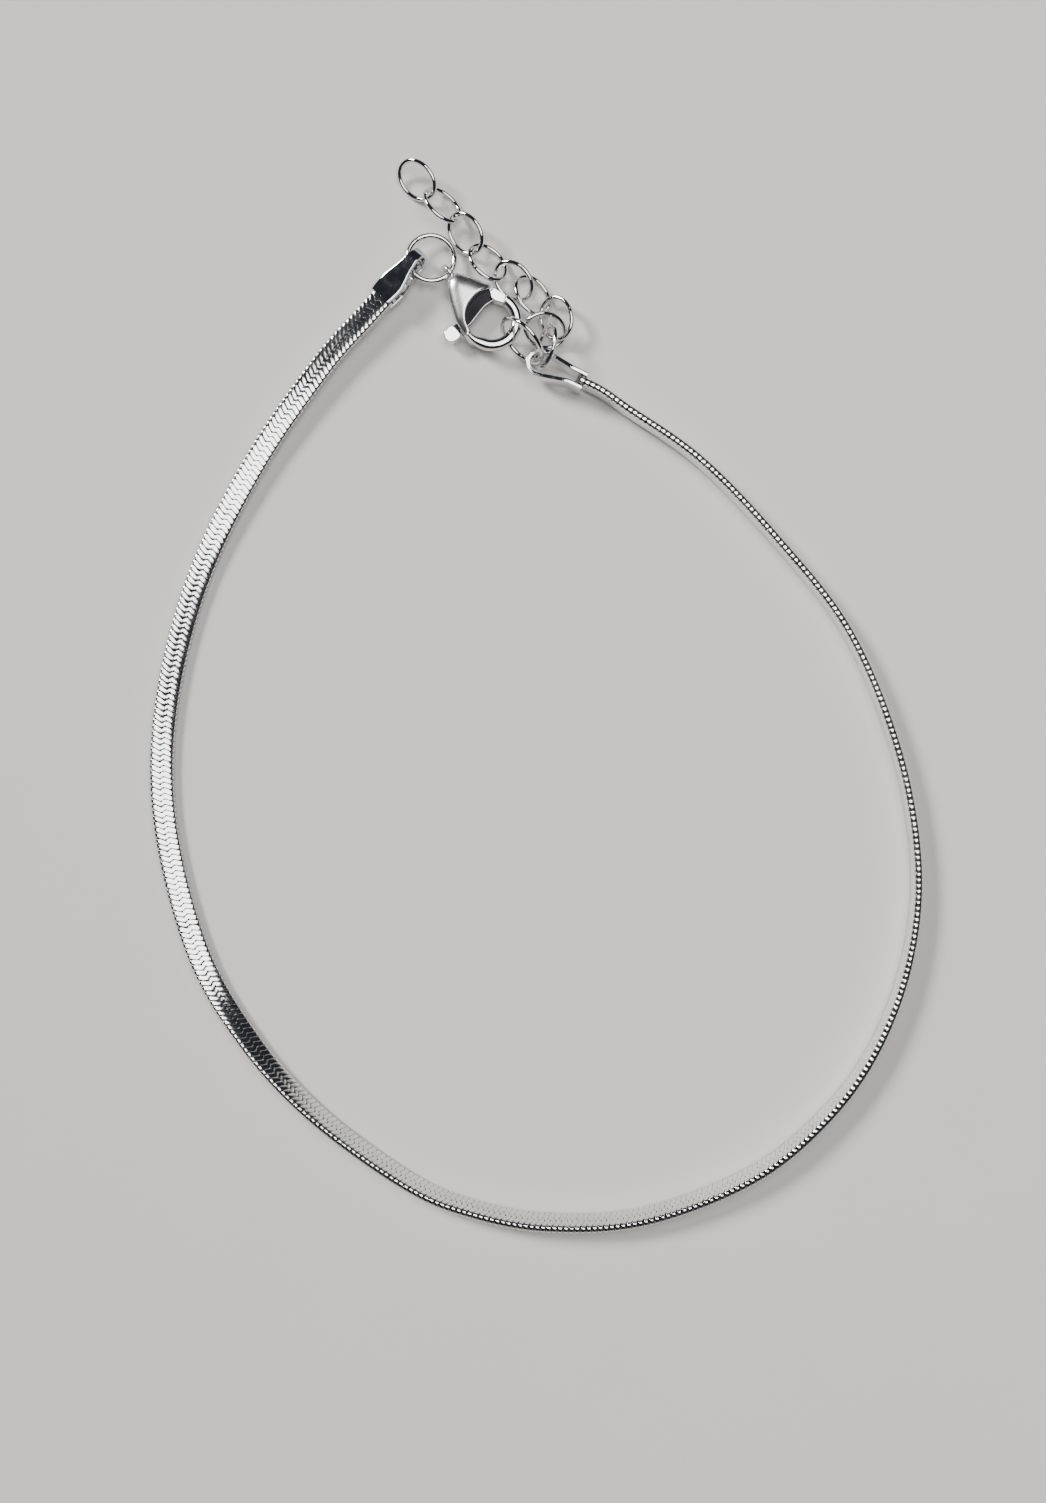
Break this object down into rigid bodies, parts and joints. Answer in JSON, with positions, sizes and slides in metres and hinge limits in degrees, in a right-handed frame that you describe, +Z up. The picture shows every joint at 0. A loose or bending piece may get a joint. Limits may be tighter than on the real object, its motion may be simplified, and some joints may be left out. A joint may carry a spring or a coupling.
{
  "type": "herringbone chain bracelet",
  "caption": "Flat herringbone-woven chain bracelet in silver, closed by a lobster clasp, with folded end caps, jump rings and a free extension chain.",
  "frame": {"origin": "on the surface that the bracelet lies on, under the middle of its bounding box", "axes": "+Z up from the surface, +Y towards the clasp, +X to the right when the clasp is at the far side"},
  "size_m": [0.0574, 0.0799, 0.0041],
  "materials": {
    "polished_silver": "polished silver, mirror-like with fine handling marks",
    "satin_silver": "cast silver with a soft satin sheen"
  },
  "bodies": {
    "bracelet": {"herringbone_chain": "polished_silver", "left_end_cap": "polished_silver", "right_end_cap": "polished_silver", "clasp_ring": "polished_silver", "clasp_body": "satin_silver", "clasp_pin": "polished_silver", "hook_ring": "polished_silver", "extension_link_1": "polished_silver", "extension_link_2": "polished_silver", "extension_link_3": "polished_silver", "extension_link_4": "polished_silver", "extension_link_5": "polished_silver", "extension_link_6": "polished_silver", "extension_link_7": "polished_silver", "extension_link_8": "polished_silver", "extension_link_9": "polished_silver"},
    "lever": {"clasp_lever": "polished_silver"}
  },
  "joints": [
    {"name": "lever_hinge", "type": "hinge", "parent": "bracelet", "child": "lever", "pos_m": [-0.0046, 0.02986, 0.001], "axis": [0, 0, -1], "range_deg": [0, 25], "stiffness_Nm_per_rad": 0.002, "springref_deg": -11.46}
  ]
}
